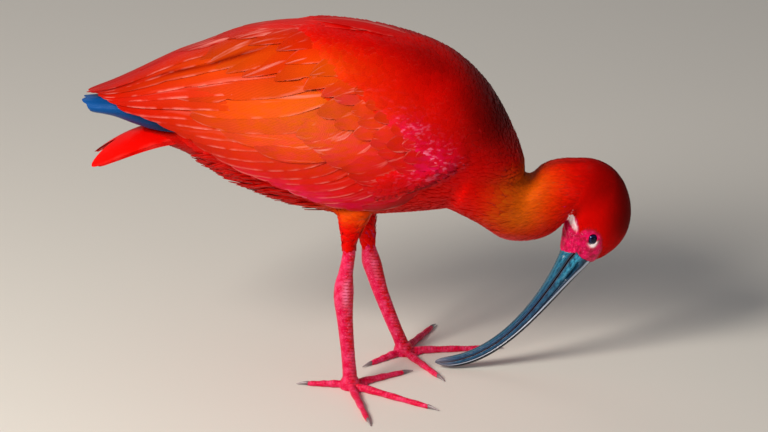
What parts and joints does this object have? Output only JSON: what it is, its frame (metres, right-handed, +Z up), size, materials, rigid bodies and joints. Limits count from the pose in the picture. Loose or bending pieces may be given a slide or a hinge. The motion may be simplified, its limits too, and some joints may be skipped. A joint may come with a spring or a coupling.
{
  "type": "scarlet ibis",
  "caption": "Life-size standing scarlet ibis with its head bent down, wings folded over its back, a long decurved bill held just off the floor, and bare legs on spread toes.",
  "frame": {"origin": "on the floor, under the middle of the bird's whole box", "axes": "+X forward from tail to breast, +Y to the bird's left, +Z up"},
  "size_m": [0.3939, 0.189, 0.2682],
  "materials": {
    "plumage": "close scarlet contour feathers, soft sheen",
    "wing_feather": "scarlet to orange flight feathers and coverts, smooth, soft gloss",
    "primary_feather": "dark blue feather tips with a silky gloss",
    "tail_feather": "scarlet tail feathers, smooth, soft gloss",
    "bill_horn": "blue-grey horn, satin, finely grooved",
    "eye": "wet dark eye",
    "leg_skin": "crimson pink scaly skin",
    "claw_horn": "grey horn, satin"
  },
  "bodies": {
    "root": {"torso": "plumage", "neck_lower": "plumage", "neck_upper": "plumage", "head": "plumage", "thigh_r": "plumage", "thigh_l": "plumage", "wing_r": "wing_feather", "wing_l": "wing_feather", "primaries_r": "primary_feather", "primaries_l": "primary_feather", "tail": "tail_feather", "bill_upper": "bill_horn", "bill_lower": "bill_horn", "eye_r": "eye", "eye_l": "eye", "shank_r": "leg_skin", "shank_l": "leg_skin", "tarsus_r": "leg_skin", "tarsus_l": "leg_skin", "toe_middle_r": "leg_skin", "toe_outer_r": "leg_skin", "toe_inner_r": "leg_skin", "toe_hind_r": "leg_skin", "toe_middle_l": "leg_skin", "toe_outer_l": "leg_skin", "toe_inner_l": "leg_skin", "toe_hind_l": "leg_skin", "claw_middle_r": "claw_horn", "claw_outer_r": "claw_horn", "claw_inner_r": "claw_horn", "claw_hind_r": "claw_horn", "claw_middle_l": "claw_horn", "claw_outer_l": "claw_horn", "claw_inner_l": "claw_horn", "claw_hind_l": "claw_horn"}
  },
  "joints": []
}
